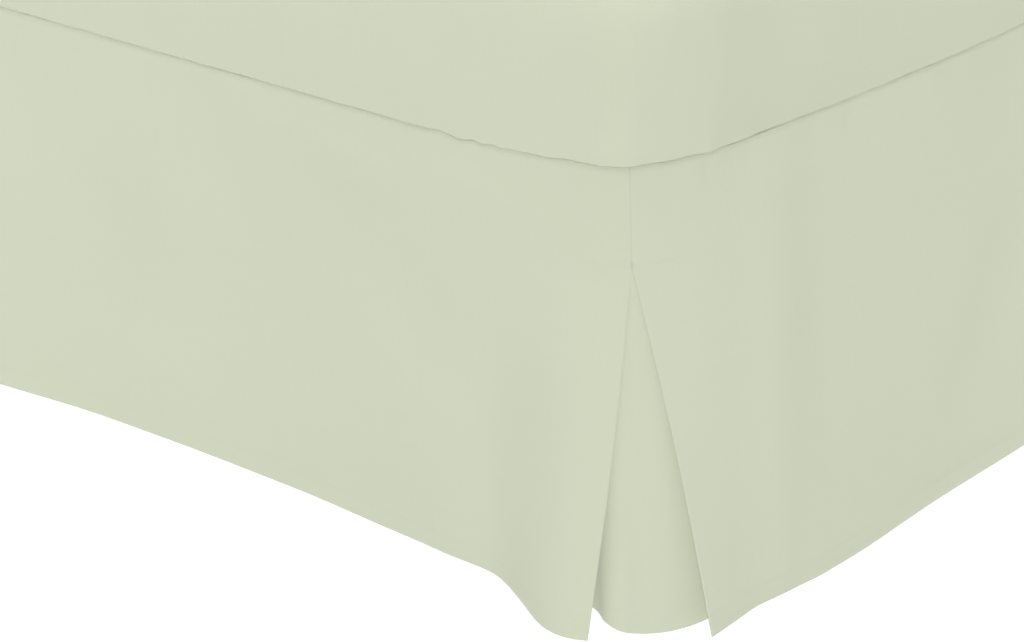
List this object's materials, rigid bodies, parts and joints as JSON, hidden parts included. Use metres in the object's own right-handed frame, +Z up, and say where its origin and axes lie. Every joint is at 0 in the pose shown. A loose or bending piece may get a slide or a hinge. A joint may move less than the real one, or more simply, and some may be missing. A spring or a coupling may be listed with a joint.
{
  "type": "bed skirt on a double bed",
  "caption": "Cloth bed skirt sewn under a fitted mattress cover, hanging to just above the floor on all sides, with an inverted pleat at each corner, on a plain bed.",
  "frame": {"origin": "on the floor under the middle of the bed", "axes": "+Z up, +Y along the bed from its foot to its head, +X across it to the right as seen from the foot"},
  "size_m": [1.4364, 1.9647, 0.6145],
  "materials": {
    "green_cloth": "matt plain-weave cotton blend, pale grey-green",
    "ticking": "matt off-white ticking",
    "base_cloth": "matt beige base cloth",
    "foot_plastic": "matt black"
  },
  "bodies": {
    "root": {"bed_base": "base_cloth", "bed_foot_1": "foot_plastic", "bed_foot_2": "foot_plastic", "bed_foot_3": "foot_plastic", "bed_foot_4": "foot_plastic", "bed_foot_5": "foot_plastic", "bed_foot_6": "foot_plastic", "mattress": "ticking", "mattress_cover": "green_cloth", "skirt_foot": "green_cloth", "skirt_right": "green_cloth", "skirt_head": "green_cloth", "skirt_left": "green_cloth", "underlay_foot_right": "green_cloth", "underlay_head_right": "green_cloth", "underlay_head_left": "green_cloth", "underlay_foot_left": "green_cloth"}
  },
  "joints": []
}
